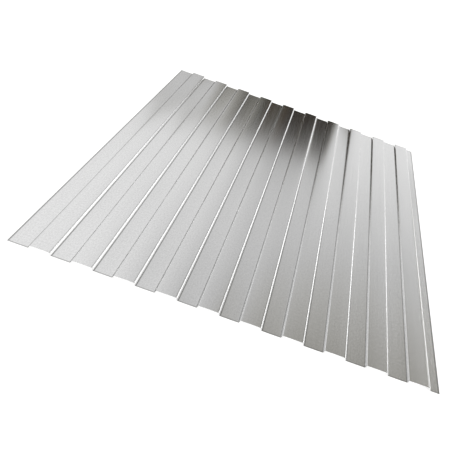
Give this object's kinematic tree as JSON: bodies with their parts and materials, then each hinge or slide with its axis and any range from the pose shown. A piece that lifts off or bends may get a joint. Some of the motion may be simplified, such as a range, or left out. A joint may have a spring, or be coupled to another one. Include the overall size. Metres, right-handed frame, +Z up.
{
  "type": "profiled metal sheet",
  "caption": "Long galvanised steel sheet with low trapezoidal ribs along its length, for cladding walls, fences and roofs.",
  "frame": {"origin": "on the underside of the troughs, in the middle of the sheet's width and length", "axes": "+Z up, out of the face with the ribs; +Y along the ribs; +X across the sheet, towards the narrow lap edge"},
  "size_m": [1.18, 2, 0.0085],
  "materials": {
    "galvanised_steel": "bare zinc coating, skin passed, semi bright"
  },
  "bodies": {
    "root": {"profiled_sheet": "galvanised_steel"}
  },
  "joints": []
}
